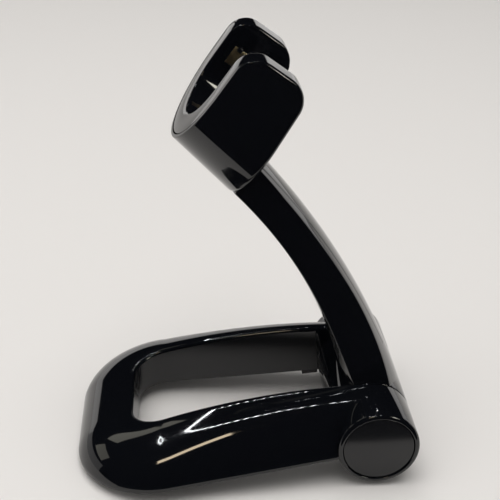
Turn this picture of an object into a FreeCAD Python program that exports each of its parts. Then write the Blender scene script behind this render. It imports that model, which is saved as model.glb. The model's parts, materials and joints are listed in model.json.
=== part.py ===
import FreeCAD, Part
import math
import os
import Sketcher

# A hands-free desk stand for a handheld scanner, in millimetres.
# A weighted open loop lies on the desk. A curved arm tilts on a friction hinge at the loop's rear, and a
# U-shaped cup at the arm's top takes the neck of the scanner between its two prongs.
#
# Axes: +X towards the hinge at the rear, +Y to the right, +Z up. Z = 0 is the desk. X = 0 is midway between
# the loop's front rim and the back of the hinge barrel. Left is -Y and right is +Y.
# Three frames are used: the row's own, the loop's frame (at the hinge axis, leaning with the loop's
# underside), and the cup's frame (at the cup's top front corner, +X along the prongs, +Z out of its face).

SIZES = {
    # the loop on the desk
    "base_reach": 103.4,        # hinge axis to the front rim, along the desk
    "base_tilt": 5.9,           # degrees the loop's underside climbs towards the hinge
    "underside_drop": 2.7,      # hinge axis down to the plane of the underside
    "bar_width": 20.8,          # front bar, inner edge to outer rim
    "leg_step": 0.2,            # knuckle's inner face to the hole's edge, at the hinge axis
    "leg_width": 16.2,          # at the hinge axis
    "inner_flare": 0.044,       # how fast the hole widens towards the front
    "outer_flare": 0.112,       # how fast the rim widens towards the front
    "inner_corner": 10.8,       # radius of the hole's front corners
    "outer_corner": 28.8,       # radius of the rim's front corners
    "crest_height": 18.9,       # highest inner edge above the underside
    "crest_back": 26.3,         # how far in front of the hinge axis the crest is
    "front_height": 12.2,       # upper inner edge at the front bar, above the underside
    "rim_lip": 1.2,             # upright lip at the outer rim
    "edge_round": 1.2,          # rounding along the hole's upper edge
    "base_wall": 2.2,
    "cavity_back": 17.0,        # how far in front of the hinge axis the hollow ends
    "cover_thick": 2.0,
    "cover_gap": 0.15,
    # hinge
    "hinge_height": 15.8,
    "barrel_radius": 14.1,
    "knuckle_length": 18.6,
    "arm_barrel_half": 17.7,
    "seam_gap": 0.3,
    "barrel_round": 1.0,
    "web_thick": 6.0,
    "pocket_radius": 9.5,
    "cap_rim": 1.8,             # barrel's rim round an end cap
    "cap_thick": 3.1,
    "cap_inset": 0.4,
    "cap_skirt": 4.0,
    "skirt_wall": 1.4,
    "snug_gap": 0.05,           # between fixed pieces that seat in one another
    "axle_radius": 3.0,
    "axle_run": 0.05,           # running clearance of the bushes on the axle
    "axle_clear": 0.6,          # between the axle and the arm's bore inside the bushes
    "head_radius": 5.5,
    "head_height": 4.0,
    "nut_width": 10.0,
    "nut_height": 5.0,
    "washer_radius": 6.5,
    "washer_thick": 1.0,
    "spring_thick": 0.8,
    "spring_cone": 0.6,
    "bush_radius": 4.5,
    "bush_length": 10.0,
    "friction_radius": 8.0,
    "friction_seat": 1.2,       # depth of the friction washer's seat in the arm
    "friction_gap": 0.02,
    # feet and inner weights
    "foot_radius": 5.0,
    "foot_setback": 12.0,       # front rim to the front feet
    "foot_spread": 17.0,
    "heel_radius": 4.0,
    "heel_bite": 1.4,           # how deep a rear foot's seat is cut into the barrel
    "heel_in": 10.0,            # knuckle's inner face to a rear foot
    "heel_shift": 1.0,
    "weight_height": 6.5,
    "weight_width": 6.5,
    "weight_length": 26.0,
    "weight_start": 19.0,
    "weight_in": 6.4,           # knuckle's inner face to a leg's weight
    "bar_weight_height": 4.0,
    "bar_weight_width": 9.0,
    "bar_weight_half": 15.0,
    "bar_weight_edge": 4.0,     # from the hole's front edge to the bar's weight
    # screws of the underside
    "screw_radius": 1.1,
    "screw_reach": 6.0,
    "screw_head_radius": 2.4,
    "screw_head_height": 1.2,
    "boss_radius": 2.9,
    "leg_screw_x": 54.0,
    "leg_screw_in": 12.6,       # knuckle's inner face to a leg's screw
    "corner_screw_front": 16.7, # front rim to the corner screws
    "corner_screw_in": 11.0,
    "hook_length": 6.0,
    "hook_width": 2.4,
    "hook_drop": 2.0,
    "hook_gap": 0.1,            # between a hook and the barrel
    "hook_in": 1.8,
    # arm
    "back_radius": 263.0,       # side-view radius of the arm's back, which touches the barrel
    "back_lap": 1.0,            # how far the arm's back reaches over the channel's round end
    "front_radius": 156.7,      # side-view radius of the arm's front
    "front_step": 0.8,          # cup's lowest edge to the arm's front
    "front_cover": 7.3,         # hinge axis to the front arc, along the line to its centre
    "crown_radius": 42.0,       # rounding of the arm's front and back across its width
    "arm_half": 11.0,
    "arm_foot": 6.0,            # height above the hinge axis where the blade starts inside the barrel
    "flare_radius": 105.5,
    "flare_top": 50.0,          # height above the hinge axis where the flare is over
    "strip_half": 7.0,
    "strip_thick": 1.6,
    "strip_gap": 0.1,
    "strip_foot": 24.0,
    "arm_wall": 3.0,
    "hollow_half": 5.4,
    "hollow_foot": 30.0,
    "hollow_in": 6.8,           # the hollow's top below the arm's front top edge
    # cup
    "cup_x": -45.4,             # the cup's top front corner, from the hinge axis
    "cup_z": 134.8,
    "cup_lean": 54.9,           # degrees of the prongs above level
    "cup_side": 8.7,            # a prong's width
    "cup_bend": 16.2,           # prong tip to the centre of the cup's outer round, at the face
    "cup_draft": 0.217,           # how fast that round slides down towards the back
    "cup_depth": 23.0,
    "back_draft": 4.7,          # degrees the back leans away from the face
    "tip_round": 7.5,
    "channel_half": 16.0,
    "channel_bend": 16.0,
    "cup_wall": 2.4,
    "tip_wall": 4.5,
    "rim_wall": 1.1,
    "back_wall": 2.5,
    "liner_thick": 2.0,
    "flange_thick": 2.0,
    "plate_thick": 1.3,
    "plate_top": 9.4,           # prong tip to the plate
    "plate_width": 6.2,
    "plate_front": 4.2,         # face to the plate
    "plate_depth": 8.5,
    "catch_width": 1.7,
    "catch_depth": 1.7,
    "catch_front": 1.0,
    "catch_lap": 0.9,           # how far the catch reaches over the plate's end
    "catch_proud": 0.5,
    "magnet_radius": 3.5,
    "magnet_thick": 3.0,
    "cup_screw_radius": 1.25,
    "cup_screw_head": 2.2,
    "cup_screw_spread": 2.9,
    "cup_screw_in": 7.0,        # channel's round end to the screws
    "cup_screw_seat": 4.0,
    "cup_screw_grip": 6.0,
    "cup_screw_cap": 1.6,
    "cup_boss_radius": 3.0,
    "cup_boss_height": 8.0,
}

doc = FreeCAD.newDocument("scanner_stand")
dims = doc.addObject("Spreadsheet::Sheet", "dims")
for row, (alias, value) in enumerate(SIZES.items(), start=1):
    dims.set("A%d" % row, alias)
    dims.set("B%d" % row, str(value))
    dims.setAlias("B%d" % row, alias)
doc.recompute()


def size(alias):
    """The number in the sheet's cell of that alias."""
    return float(getattr(dims, alias))


# Places that several pieces share, as expressions on the sheet.
HINGE_X = "(dims.base_reach - dims.barrel_radius) / 2"
FRONT_REACH = "((dims.base_reach + dims.underside_drop * sin(dims.base_tilt)) / cos(dims.base_tilt))"
KNUCKLE_FACE = "(dims.arm_barrel_half + dims.seam_gap)"
WEB_FACE = "(dims.arm_barrel_half + dims.seam_gap + dims.web_thick)"
BARREL_HALF = "(dims.arm_barrel_half + dims.seam_gap + dims.knuckle_length)"
CAP_RADIUS = "(dims.barrel_radius - dims.cap_rim)"
CAP_FACE = "(%s - dims.cap_inset)" % BARREL_HALF
CAP_SEAT = "(%s - dims.cap_inset - dims.cap_thick)" % BARREL_HALF
FRICTION_FLOOR = "(dims.arm_barrel_half - dims.friction_seat)"
COVER_TOP = "(dims.cover_thick - dims.underside_drop)"
HEEL_Y = "(%s + dims.heel_in)" % KNUCKLE_FACE
HEEL_SEAT = "(dims.heel_bite - dims.barrel_radius)"
CUP_HALF = "(dims.channel_half + dims.cup_side)"
CHANNEL_END = "(dims.channel_bend + dims.channel_half)"
CUP_END = "(dims.cup_bend + dims.cup_draft * dims.cup_depth + %s)" % CUP_HALF
SIDES = (("left", -1), ("right", 1))
FAR = 60.0          # a length well past the object, for tools that only cut
DEEP = 12.0         # how far a cutting tool runs past the face it opens

LEVEL = FreeCAD.Rotation(FreeCAD.Vector(0, 0, 1), 0)
ALONG_Y = FreeCAD.Rotation(FreeCAD.Vector(1, 0, 0), -90)
UPRIGHT_XZ = FreeCAD.Rotation(FreeCAD.Vector(1, 0, 0), 90)


def bind(item, **expressions):
    """Bind properties to expressions; a double underscore in a name stands for a dot."""
    for name, expression in expressions.items():
        item.setExpression(name.replace("__", "."), expression)
    return item


def place(item, x="0", y="0", z="0", rotation=LEVEL):
    item.Placement = FreeCAD.Placement(FreeCAD.Vector(0, 0, 0), rotation)
    return bind(item, Placement__Base__x=x, Placement__Base__y=y, Placement__Base__z=z)


def box(name, x, y, z):
    """A block from three (low, high) pairs of expressions."""
    item = doc.addObject("Part::Box", name)
    bind(item, Length="(%s) - (%s)" % (x[1], x[0]), Width="(%s) - (%s)" % (y[1], y[0]))
    bind(item, Height="(%s) - (%s)" % (z[1], z[0]))
    return place(item, x[0], y[0], z[0])


def span(side, near, far):
    """The (low, high) pair of a stretch from near to far on the left (-1) or right (1)."""
    return ("-(%s)" % far, "-(%s)" % near) if side < 0 else (near, far)


def rod_y(name, radius, y, x="0", z="0"):
    """A round bar along Y."""
    item = bind(doc.addObject("Part::Cylinder", name), Radius=radius, Height="(%s) - (%s)" % (y[1], y[0]))
    return place(item, x, y[0], z, ALONG_Y)


def rod_z(name, radius, z, x="0", y="0"):
    """A round bar along Z."""
    item = bind(doc.addObject("Part::Cylinder", name), Radius=radius, Height="(%s) - (%s)" % (z[1], z[0]))
    return place(item, x, y, z[0])


def ring(name, major, minor, x, z):
    """A torus about a line along Y through x, z."""
    item = bind(doc.addObject("Part::Torus", name), Radius1=major, Radius2=minor)
    return place(item, x, "0", z, ALONG_Y)


def fuse(name, *items):
    item = doc.addObject("Part::MultiFuse", name)
    item.Shapes = list(items)
    return item


def common(name, *items):
    item = doc.addObject("Part::MultiCommon", name)
    item.Shapes = list(items)
    return item


def cut(name, base, *tools):
    item = doc.addObject("Part::Cut", name)
    item.Base = base
    item.Tool = tools[0] if len(tools) == 1 else fuse(name + "_tools", *tools)
    return item


def polygon(name, corners, rotation=LEVEL):
    """A closed sketch of straight lines whose corners are held by expressions."""
    sketch = doc.addObject("Sketcher::SketchObject", name)
    sketch.Placement = FreeCAD.Placement(FreeCAD.Vector(0, 0, 0), rotation)
    spots = []
    for x, y in corners:
        spots.append(FreeCAD.Vector(float(dims.evalExpression(x)), float(dims.evalExpression(y)), 0))
    count = len(spots)
    for i in range(count):
        sketch.addGeometry(Part.LineSegment(spots[i], spots[(i + 1) % count]), False)
    for i in range(count):
        sketch.addConstraint(Sketcher.Constraint("Coincident", i, 2, (i + 1) % count, 1))
    for i, (x, y) in enumerate(corners):
        for kind, expression, value in (("DistanceX", x, spots[i].x), ("DistanceY", y, spots[i].y)):
            index = sketch.addConstraint(Sketcher.Constraint(kind, -1, 1, i, 1, value))
            sketch.setExpression("Constraints[%d]" % index, expression)
    return sketch


def extrude(name, sketch, length):
    """Extrude a sketch both ways along its normal, over a length in all."""
    item = doc.addObject("Part::Extrusion", name)
    item.Base = sketch
    item.DirMode = "Normal"
    item.Solid = True
    item.Symmetric = True
    return bind(item, LengthFwd=length)


def round_edges(name, base, radius, wanted):
    """Fillet the edges of base whose middle point passes the test wanted(point, edge)."""
    doc.recompute()
    item = doc.addObject("Part::Fillet", name)
    item.Base = base
    chosen = []
    for number, edge in enumerate(base.Shape.Edges, start=1):
        middle = edge.valueAt((edge.FirstParameter + edge.LastParameter) / 2)
        if wanted(middle, edge):
            chosen.append((number, radius, radius))
    item.Edges = chosen
    return item


def feature(name, shape):
    """A freeform solid worked out in this script from the sheet's sizes."""
    item = doc.addObject("Part::Feature", name)
    item.Shape = shape
    return item


def group(name, *items):
    item = doc.addObject("Part::Compound", name)
    item.Links = list(items)
    return item


def stand(item, x, z, lean=""):
    """Put an item's own frame at x, z. A lean, in degrees, lifts its +X end."""
    turn = FreeCAD.Rotation(FreeCAD.Vector(0, -1, 0), 1 if lean else 0)
    item.Placement = FreeCAD.Placement(FreeCAD.Vector(0, 0, 0), turn)
    if lean:
        bind(item, Placement__Rotation__Angle=lean)
    return bind(item, Placement__Base__x=x, Placement__Base__z=z)


def in_hinge_frame(item):
    return stand(item, HINGE_X, "dims.hinge_height")


def in_base_frame(item):
    return stand(item, HINGE_X, "dims.hinge_height", "dims.base_tilt")


def in_cup_frame(item):
    return stand(item, HINGE_X + " + dims.cup_x", "dims.hinge_height + dims.cup_z", "dims.cup_lean")


# ---------------------------------------------------------------- the loop on the desk, in the base frame

LEG_STEPS = 6       # stretches of the loop's surface along one leg
CORNER_STEPS = 10   # stretches round one front corner
ROUNDNESS = 0.5523  # handle of a cubic curve that makes a quarter of an ellipse


def half_outline(half, flare, reach, corner, back):
    """Points of a right-hand outline, from back of a leg round the front corner to the middle of the bar."""
    slope = math.atan(flare)
    centre_x = corner - reach
    centre_y = half - flare * centre_x - corner / math.cos(slope)
    points = []
    leg_end = centre_x + corner * math.sin(slope)
    for i in range(LEG_STEPS):
        x = -back + (leg_end + back) * i / LEG_STEPS
        points.append((x, half - flare * x))
    for i in range(CORNER_STEPS + 1):
        turn = math.pi / 2 - slope + (math.pi / 2 + slope) * i / CORNER_STEPS
        points.append((centre_x + corner * math.cos(turn), centre_y + corner * math.sin(turn)))
    points.append((-reach, 0.0))
    return points


def loop_stations(back):
    """(inner, outer) points of the loop's cross-sections, from the right leg round the front to the left."""
    reach = float(dims.evalExpression(FRONT_REACH))
    inner_half = size("arm_barrel_half") + size("seam_gap") + size("leg_step")
    outer_half = inner_half + size("leg_width")
    hole_reach = reach - size("bar_width")
    inner = half_outline(inner_half, size("inner_flare"), hole_reach, size("inner_corner"), back)
    outer = half_outline(outer_half, size("outer_flare"), reach, size("outer_corner"), back)
    right = list(zip(inner, outer))
    left = [((a[0], -a[1]), (b[0], -b[1])) for a, b in right[:-1]]
    return right + left[::-1]


def crest(x):
    """Height of the loop's upper inner edge above its underside, a parabola down to the front bar."""
    run = float(dims.evalExpression(FRONT_REACH)) - size("bar_width") - size("crest_back")
    drop = size("crest_height") - size("front_height")
    return size("crest_height") - drop * ((x + size("crest_back")) / run) ** 2


def curve(points):
    bezier = Part.BezierCurve()
    bezier.setPoles(points)
    return bezier.toShape()


def loop_section(inner, outer, inset, bottom, top):
    """One upright cross-section, up the inner wall and down to the rim; without a top it is domed."""
    width = math.dist(inner, outer)
    along = ((outer[0] - inner[0]) / width, (outer[1] - inner[1]) / width)
    floor = -size("underside_drop")

    def spot(across, height):
        return FreeCAD.Vector(inner[0] + along[0] * across, inner[1] + along[1] * across, floor + height)

    start, end = inset, width - inset
    if top is not None:
        return Part.makePolygon([spot(start, bottom), spot(start, top), spot(end, top), spot(end, bottom),
                                 spot(start, bottom)])
    high = crest(inner[0]) - inset
    soft = size("edge_round")
    lip = size("rim_lip")
    handle = soft * (1 - ROUNDNESS)
    reach = (end - start - soft) * ROUNDNESS
    drop = (high - lip) * ROUNDNESS
    edges = [
        Part.LineSegment(spot(start, bottom), spot(start, high - soft)).toShape(),
        curve([spot(start, high - soft), spot(start, high - handle), spot(start + handle, high),
               spot(start + soft, high)]),
        curve([spot(start + soft, high), spot(start + soft + reach, high), spot(end, lip + drop),
               spot(end, lip)]),
        Part.LineSegment(spot(end, lip), spot(end, bottom)).toShape(),
        Part.LineSegment(spot(end, bottom), spot(start, bottom)).toShape(),
    ]
    return Part.Wire(edges)


def loop_solid(back, inset=0.0, bottom=0.0, top=None):
    """The loop as one loft through its cross-sections, pulled in by inset on every side."""
    sections = []
    for inner, outer in loop_stations(back):
        sections.append(loop_section(inner, outer, inset, bottom, top))
    return Part.makeLoft(sections, True, True)


def screw_spots():
    """Name and place of each screw of the underside."""
    for side_name, side in SIDES:
        sign = "-" if side < 0 else ""
        yield "leg_" + side_name, "-dims.leg_screw_x", "%s(%s + dims.leg_screw_in)" % (sign, KNUCKLE_FACE)
        yield ("corner_" + side_name, "dims.corner_screw_front - " + FRONT_REACH,
               "%s(%s + dims.corner_screw_in)" % (sign, KNUCKLE_FACE))


def make_base_shell():
    outside = feature("loop_outside", loop_solid(0.0))
    hollow = feature("loop_hollow", loop_solid(size("cavity_back"), size("base_wall"), -DEEP))
    skin = cut("loop_skin", outside, hollow)
    posts = []
    tools = []
    for name, x, y in screw_spots():
        posts.append(rod_z("post_" + name, "dims.boss_radius", (COVER_TOP, str(FAR)), x, y))
        pilot = ("-dims.underside_drop", "dims.screw_reach - dims.underside_drop + dims.snug_gap")
        tools.append(rod_z("pilot_" + name, "dims.screw_radius + dims.snug_gap", pilot, x, y))
    bosses = common("bosses", fuse("posts", *posts), outside)
    knuckles = []
    for name, side in SIDES:
        bar = rod_y(name + "_knuckle_bar", "dims.barrel_radius", span(side, KNUCKLE_FACE, BARREL_HALF))
        end = side * float(dims.evalExpression(BARREL_HALF))
        knuckles.append(round_edges(name + "_knuckle", bar, size("barrel_round"),
                                    lambda spot, edge: abs(spot.y - end) < size("snug_gap")
                                    and edge.Length > size("barrel_radius") * math.pi))
        tools.append(rod_y(name + "_cap_seat", CAP_RADIUS + " + dims.snug_gap",
                           span(side, CAP_SEAT, BARREL_HALF + " + %g" % DEEP)))
        tools.append(rod_y(name + "_pocket", "dims.pocket_radius", span(side, WEB_FACE, CAP_SEAT)))
        tools.append(rod_y(name + "_web_bore", "dims.axle_radius + dims.snug_gap",
                           span(side, "dims.arm_barrel_half", WEB_FACE)))
        heel = ("%s - %g" % (HEEL_SEAT, DEEP), HEEL_SEAT)
        tools.append(rod_z(name + "_heel_seat", "dims.heel_radius + dims.snug_gap", heel,
                           "-dims.heel_shift", "%d * %s" % (side, HEEL_Y)))
    solid = fuse("base_solid", skin, bosses, *knuckles)
    return in_base_frame(cut("base_shell", solid, *tools))


def make_base_cover():
    inset = size("base_wall") + size("cover_gap")
    back = size("cavity_back") + size("cover_gap")
    plate = feature("cover_plate", loop_solid(back, inset, 0.0, size("cover_thick")))
    hooks = []
    for name, side in SIDES:
        back = "-dims.barrel_radius - dims.hook_gap"
        reach = (back + " - dims.hook_length", back)
        near = KNUCKLE_FACE + " + dims.hook_in"
        across = span(side, near, near + " + dims.hook_width")
        hooks.append(box(name + "_hook", reach, across,
                         ("-dims.underside_drop - dims.hook_drop", "-dims.underside_drop")))
    tools = []
    head_top = "dims.screw_head_height + dims.snug_gap - dims.underside_drop"
    for name, x, y in screw_spots():
        below = "-dims.underside_drop - %g" % DEEP
        tools.append(rod_z("head_seat_" + name, "dims.screw_head_radius + dims.snug_gap", (below, head_top),
                           x, y))
        tools.append(rod_z("hole_" + name, "dims.screw_radius + dims.snug_gap", (below, COVER_TOP), x, y))
    return in_base_frame(cut("base_cover", fuse("cover_solid", plate, *hooks), *tools))


def make_base_cover_screws():
    screws = []
    for name, x, y in screw_spots():
        seat = "dims.screw_head_height - dims.underside_drop"
        head = rod_z("head_" + name, "dims.screw_head_radius", ("-dims.underside_drop", seat), x, y)
        shank = rod_z("shank_" + name, "dims.screw_radius", (seat, "dims.screw_reach - dims.underside_drop"),
                      x, y)
        screws.append(fuse("screw_" + name, head, shank))
    return in_base_frame(group("base_cover_screws", *screws))


def make_weights():
    """Steel bars that lie on the cover inside the legs and the front bar."""
    pieces = []
    for name, side in SIDES:
        near = KNUCKLE_FACE + " + dims.weight_in"
        bar = box(name + "_weight_bar", ("-dims.weight_start - dims.weight_length", "-dims.weight_start"),
                  span(side, near, near + " + dims.weight_width"),
                  (COVER_TOP, COVER_TOP + " + dims.weight_height"))
        pieces.append(in_base_frame(group(name + "_ballast", bar)))
    near = "dims.bar_width - dims.bar_weight_edge - " + FRONT_REACH
    bar = box("front_weight_bar", (near + " - dims.bar_weight_width", near),
              ("-dims.bar_weight_half", "dims.bar_weight_half"),
              (COVER_TOP, COVER_TOP + " + dims.bar_weight_height"))
    pieces.append(in_base_frame(group("front_ballast", bar)))
    return pieces


def make_feet():
    """Round rubber pads whose lower faces all lie on the desk."""
    pieces = []
    desk_x = "-dims.hinge_height * sin(dims.base_tilt)"
    desk_z = "-dims.hinge_height * cos(dims.base_tilt)"
    for name, side in SIDES:
        spots = (
            ("front", "dims.foot_radius", "dims.foot_setback - " + FRONT_REACH, "dims.foot_spread",
             "-dims.underside_drop"),
            ("rear", "dims.heel_radius", "-dims.heel_shift", HEEL_Y, HEEL_SEAT),
        )
        for end, radius, x, y, top in spots:
            label = "%s_%s_foot" % (end, name)
            post = rod_z(label + "_post", radius, (top + " - %g" % DEEP, top), x, "%d * %s" % (side, y))
            slab = box(label + "_slab", ("-%g" % (2 * FAR), "%g" % FAR), ("-%g" % FAR, "%g" % FAR),
                       ("-%g" % FAR, "0"))
            desk = stand(group(label + "_desk", slab), desk_x, desk_z, "-dims.base_tilt")
            pieces.append(in_base_frame(cut(label, post, desk)))
    return pieces


# ---------------------------------------------------------------- hinge, in the hinge frame

def make_end_caps():
    pieces = []
    for name, side in SIDES:
        disc = rod_y(name + "_cap_disc", CAP_RADIUS, span(side, CAP_SEAT, CAP_FACE))
        skirt_end = CAP_SEAT + " - dims.cap_skirt"
        reach = span(side, skirt_end, CAP_SEAT)
        skirt = rod_y(name + "_cap_skirt", "dims.pocket_radius - dims.snug_gap", reach)
        bore = rod_y(name + "_cap_bore", "dims.pocket_radius - dims.snug_gap - dims.skirt_wall", reach)
        ring_part = cut(name + "_cap_ring", skirt, bore)
        pieces.append(in_hinge_frame(fuse(name + "_end_cap", disc, ring_part)))
    return pieces


def stack_faces():
    """Places along Y of the washers and the nut on the bolt's right-hand end."""
    spring = WEB_FACE + " + 2 * (dims.spring_thick + dims.spring_cone)"
    washer = spring + " + dims.washer_thick"
    nut = washer + " + dims.nut_height"
    return spring, washer, nut


def make_axle():
    spring, washer, nut = stack_faces()
    head = rod_y("bolt_head", "dims.head_radius", span(-1, WEB_FACE, WEB_FACE + " + dims.head_height"))
    shank = rod_y("bolt_shank", "dims.axle_radius", ("-" + WEB_FACE, nut))
    bolt = in_hinge_frame(fuse("hinge_bolt", head, shank))

    hexagon = doc.addObject("Part::Prism", "nut_prism")
    hexagon.Polygon = 6
    bind(hexagon, Circumradius="dims.nut_width / sqrt(3)", Height="dims.nut_height")
    place(hexagon, "0", washer, "0", ALONG_Y)
    thread = rod_y("nut_thread", "dims.axle_radius + dims.snug_gap", (washer, nut))
    hinge_nut = in_hinge_frame(cut("hinge_nut", hexagon, thread))

    disc = rod_y("washer_disc", "dims.washer_radius", (spring, washer))
    hole = rod_y("washer_hole", "dims.axle_radius + dims.snug_gap", (spring, washer))
    hinge_washer = in_hinge_frame(cut("hinge_washer", disc, hole))
    return [bolt, hinge_nut, hinge_washer]


def make_disc_springs():
    """Two coned spring washers, rim to rim, each a band turned about the axle."""
    middle = WEB_FACE + " + dims.spring_thick + dims.spring_cone"
    shapes = []
    for name, sign, rim in (("inner", "-", middle), ("outer", "+", middle)):
        near = "dims.axle_radius + dims.snug_gap"
        far = "dims.washer_radius"
        thick = "%s dims.spring_thick" % sign
        cone = "%s dims.spring_cone" % sign
        band = polygon("spring_band_" + name, (
            (far, rim), (far, "%s %s" % (rim, thick)), (near, "%s %s %s" % (rim, thick, cone)),
            (near, "%s %s" % (rim, cone))))
        turned = doc.addObject("Part::Revolution", "spring_" + name)
        turned.Source = band
        turned.Axis = FreeCAD.Vector(0, 1, 0)
        turned.Angle = 360
        turned.Solid = True
        shapes.append(turned)
    return in_hinge_frame(group("disc_springs", *shapes))


def make_bearings():
    pieces = []
    for name, side in SIDES:
        reach = span(side, FRICTION_FLOOR + " - dims.bush_length", FRICTION_FLOOR)
        tube = rod_y(name + "_bush_tube", "dims.bush_radius", reach)
        bore = rod_y(name + "_bush_bore", "dims.axle_radius + dims.axle_run", reach)
        pieces.append(in_hinge_frame(cut(name + "_bush", tube, bore)))
        reach = span(side, FRICTION_FLOOR, KNUCKLE_FACE + " - dims.friction_gap")
        disc = rod_y(name + "_friction_disc", "dims.friction_radius", reach)
        hole = rod_y(name + "_friction_hole", "dims.axle_radius + dims.axle_run", reach)
        pieces.append(in_hinge_frame(cut(name + "_friction_washer", disc, hole)))
    return pieces


# ---------------------------------------------------------------- arm, in the hinge frame

CUP_BACK_X = "(dims.cup_x + dims.cup_depth * sin(dims.cup_lean))"
CUP_BACK_Z = "(dims.cup_z - dims.cup_depth * cos(dims.cup_lean))"
CUP_BACK_LEAN = "(dims.cup_lean + dims.back_draft)"


def arc_centre(radius, reach, down):
    """Centre of a side-view arc: reach from the hinge axis, meeting the cup's back down from its tips."""
    x = "(%s - (%s) * cos%s)" % (CUP_BACK_X, down, CUP_BACK_LEAN)
    z = "(%s - (%s) * sin%s)" % (CUP_BACK_Z, down, CUP_BACK_LEAN)
    far = "sqrt(%s ^ 2 + %s ^ 2)" % (x, z)
    opening = "acos(((%s) ^ 2 + %s ^ 2 - (%s) ^ 2) / (2 * (%s) * %s))" % (reach, far, radius, reach, far)
    turn = "(atan2(%s; %s) + %s)" % (z, x, opening)
    return "(%s) * cos%s" % (reach, turn), "(%s) * sin%s" % (reach, turn)


BACK_CENTRE = arc_centre("dims.back_radius", "dims.back_radius - dims.barrel_radius",
                         CHANNEL_END + " - dims.back_lap")
FRONT_DOWN = CUP_END + " - dims.front_step"
FRONT_CENTRE = arc_centre("dims.front_radius", "dims.front_radius + dims.front_cover", FRONT_DOWN)


def back_ring(name, sunk="0"):
    """Everything in front of the arm's crowned back, sunk below it by a depth."""
    minor = "dims.crown_radius - (%s)" % sunk
    return ring(name, "dims.back_radius - dims.crown_radius", minor, *BACK_CENTRE)


def front_ring(name, sunk="0"):
    """Everything behind the arm's crowned front, sunk behind it by a depth."""
    minor = "dims.crown_radius - (%s)" % sunk
    return ring(name, "dims.front_radius + dims.crown_radius", minor, *FRONT_CENTRE)


def flare_pad(name):
    """The arm seen from the front: parallel sides that flare out in arcs to the barrel's width."""
    block = box(name + "_block", ("-%g" % (2 * FAR), "%g" % FAR),
                ("-dims.arm_barrel_half", "dims.arm_barrel_half"), ("dims.arm_foot", CUP_BACK_Z))
    tools = []
    for side_name, side in SIDES:
        tools.append(box("%s_%s_slab" % (name, side_name), ("-%g" % (2 * FAR), "%g" % FAR),
                         span(side, "dims.arm_half", "%g" % FAR), ("dims.flare_top", CUP_BACK_Z)))
        bar = doc.addObject("Part::Cylinder", "%s_%s_bar" % (name, side_name))
        bind(bar, Radius="dims.flare_radius", Height="%g" % (3 * FAR))
        sign = "-" if side < 0 else ""
        tools.append(place(bar, "-%g" % (2 * FAR), sign + "(dims.arm_half + dims.flare_radius)",
                           "dims.flare_top", FreeCAD.Rotation(FreeCAD.Vector(0, 1, 0), 90)))
    return cut(name, block, *tools)


def on_cup_back(item):
    """Stand an item on the plane where the arm meets the cup's back, +Z into the cup."""
    return stand(item, CUP_BACK_X, CUP_BACK_Z, CUP_BACK_LEAN)


def cup_side(name):
    """All that lies on the cup's side of the plane where the arm meets the cup's back."""
    slab = box(name + "_slab", ("-%g" % (3 * FAR), "%g" % FAR), ("-%g" % FAR, "%g" % FAR),
               ("0", "%g" % (2 * FAR)))
    return on_cup_back(group(name, slab))


def strip_band(name, half, foot):
    return box(name, ("-%g" % (2 * FAR), "%g" % FAR), ("-(%s)" % half, half), (foot, CUP_BACK_Z))


def cup_screw_rods(name, radius, low, high):
    """One round bar for each cup screw, square to the cup's back; heights are above that back."""
    x = "-%s - dims.cup_screw_in" % CHANNEL_END
    rods = []
    for side_name, side in SIDES:
        y = "%d * dims.cup_screw_spread" % side
        rods.append(rod_z("%s_%s" % (name, side_name), radius, (low, high), x, y))
    return rods


def make_arm_shell():
    outline = cut("arm_outline", flare_pad("arm_pad"), cup_side("arm_end"))
    crowned = common("arm_crowned", outline, back_ring("arm_back"))
    blade = common("arm_blade", crowned, front_ring("arm_front"))
    barrel = rod_y("arm_barrel", "dims.barrel_radius", ("-dims.arm_barrel_half", "dims.arm_barrel_half"))
    tools = [cut("strip_seat", strip_band("strip_seat_band", "dims.strip_half + dims.strip_gap",
                                          "dims.strip_foot - dims.strip_gap"),
                 back_ring("strip_seat_floor", "dims.strip_thick"))]
    hollow_top = "%s - (%s) * sin%s - dims.hollow_in" % (CUP_BACK_Z, FRONT_DOWN, CUP_BACK_LEAN)
    hollow = box("arm_hollow_block", ("-%g" % (2 * FAR), "%g" % FAR),
                 ("-dims.hollow_half", "dims.hollow_half"), ("dims.hollow_foot", hollow_top))
    tools.append(common("arm_hollow", hollow, back_ring("arm_hollow_back"),
                        front_ring("arm_hollow_front", "dims.arm_wall")))
    tools.append(rod_y("axle_way", "dims.axle_radius + dims.axle_clear",
                       ("-dims.arm_barrel_half", "dims.arm_barrel_half")))
    for name, side in SIDES:
        tools.append(rod_y(name + "_friction_seat", "dims.friction_radius + dims.snug_gap",
                           span(side, FRICTION_FLOOR, BARREL_HALF)))
        tools.append(rod_y(name + "_bush_seat", "dims.bush_radius + dims.snug_gap",
                           span(side, FRICTION_FLOOR + " - dims.bush_length", FRICTION_FLOOR)))
    holes = cup_screw_rods("cup_screw_hole", "dims.cup_screw_radius + dims.snug_gap", "-%g" % DEEP, "0")
    ways = cup_screw_rods("cup_screw_way", "dims.cup_screw_head + dims.snug_gap",
                          "-dims.cup_screw_seat - %g" % DEEP, "-dims.cup_screw_seat")
    tools.append(on_cup_back(fuse("cup_screw_holes", *holes, *ways)))
    return in_hinge_frame(cut("arm_shell", fuse("arm_solid", blade, barrel), *tools))


def make_arm_back_cover():
    strip = common("strip_solid", strip_band("strip_band", "dims.strip_half", "dims.strip_foot"),
                   back_ring("strip_back"))
    return in_hinge_frame(cut("arm_back_cover", strip, back_ring("strip_floor", "dims.strip_thick"),
                              cup_side("strip_end")))


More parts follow.
